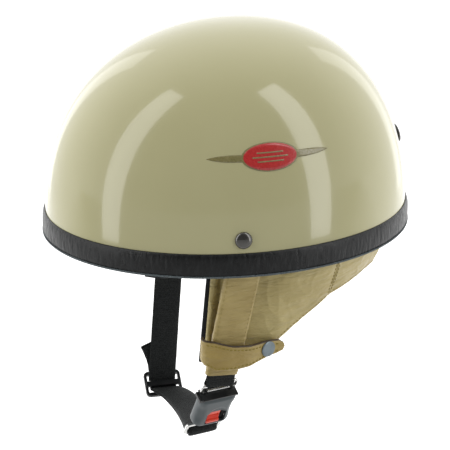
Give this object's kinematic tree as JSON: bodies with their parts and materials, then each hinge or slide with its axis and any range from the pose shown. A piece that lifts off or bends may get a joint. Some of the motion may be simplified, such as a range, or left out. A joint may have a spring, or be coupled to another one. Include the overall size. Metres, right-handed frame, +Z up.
{
  "type": "open face motorcycle helmet",
  "caption": "Open face half shell motorcycle helmet with leather ear flaps and neck curtain, rim trim, goggle keeper and chin strap with quick release buckle.",
  "frame": {"origin": "centre of the head opening, on the plane of the rim trim's lower edge", "axes": "+Z up to the crown, -Y to the front of the helmet, +X to the wearer's left, the side with the buckle"},
  "size_m": [0.2332, 0.2829, 0.3405],
  "materials": {
    "shell_paint": "gloss cream gel coat over glass fibre",
    "trim_leather": "black grained",
    "tan_leather": "matt tan",
    "lining_felt": "black felt",
    "pad_fabric": "black brushed knit over foam",
    "foam": "expanded polystyrene beads",
    "webbing": "black ribbed webbing",
    "grey_plastic": "satin grey",
    "black_plastic": "matt black",
    "red_plastic": "satin red",
    "badge_red": "printed decal",
    "steel": "bright",
    "snap_steel": "satin",
    "chrome": "bright"
  },
  "bodies": {
    "helmet": {"badge_left": "badge_red", "badge_right": "badge_red", "buckle_base": "grey_plastic", "buckle_cover": "grey_plastic", "buckle_end_cap": "black_plastic", "buckle_frame_plate": "steel", "buckle_ring": "chrome", "button_spring": "steel", "chin_strap_loop": "webbing", "crown_pad": "pad_fabric", "ear_flap_left": "tan_leather", "ear_flap_right": "tan_leather", "ear_lining_left": "lining_felt", "ear_lining_right": "lining_felt", "edge_trim": "trim_leather", "headband_pad": "pad_fabric", "impact_liner": "foam", "keeper_foot": "trim_leather", "keeper_rivet": "steel", "keeper_stud": "snap_steel", "leather_sleeve_left": "tan_leather", "liner_skirt": "lining_felt", "neck_lining": "lining_felt", "neck_panel": "tan_leather", "outer_shell": "shell_paint", "rivet_washers": "steel", "strap_left_webbing": "webbing", "strap_right_webbing": "webbing", "strap_rivets": "steel", "tab_stud_left": "snap_steel", "tab_stud_right": "snap_steel"},
    "tongue": {"tongue_plate": "chrome", "tongue_webbing": "webbing"},
    "button": {"release_button": "red_plastic"},
    "latch": {"latch_pawl": "steel"},
    "slider": {"strap_slider": "black_plastic", "strap_tail": "webbing"},
    "keeper": {"keeper_flap": "trim_leather", "keeper_snap": "chrome"},
    "tab_left": {"tab_left": "tan_leather", "tab_snap_left": "snap_steel"},
    "tab_right": {"tab_right": "tan_leather", "tab_snap_right": "snap_steel"}
  },
  "joints": [
    {"name": "tongue_slide", "type": "slide", "parent": "helmet", "child": "tongue", "axis": [-0.5056, -0.0983, -0.8572], "range_m": [0, 0.02], "deforming": ["chin_strap_loop"]},
    {"name": "button_slide", "type": "slide", "parent": "helmet", "child": "button", "axis": [0.5056, 0.0983, 0.8572], "range_m": [0, 0.004], "stiffness_N_per_m": 400, "springref_m": -0.001, "deforming": ["button_spring"]},
    {"name": "latch_slide", "type": "slide", "parent": "helmet", "child": "latch", "axis": [-0.8414, -0.1636, 0.515], "range_m": [0, 0.0012]},
    {"name": "slider_travel", "type": "slide", "parent": "helmet", "child": "slider", "axis": [-0.1159, 0.1021, 0.988], "range_m": [0, 0.025]},
    {"name": "keeper_hinge", "type": "hinge", "parent": "helmet", "child": "keeper", "pos_m": [0, 0.14025, 0.02715], "axis": [-1, 0, 0], "range_deg": [0, 95]},
    {"name": "tab_left_hinge", "type": "hinge", "parent": "helmet", "child": "tab_left", "pos_m": [0.1024, -0.0466, -0.065], "axis": [0, 0, -1], "range_deg": [0, 100]},
    {"name": "tab_right_hinge", "type": "hinge", "parent": "helmet", "child": "tab_right", "pos_m": [-0.1024, -0.0466, -0.065], "axis": [0, 0, 1], "range_deg": [0, 100]}
  ],
  "couplings": [
    {"joint": "latch_slide", "follows": "button_slide", "ratio": 0.3}
  ]
}
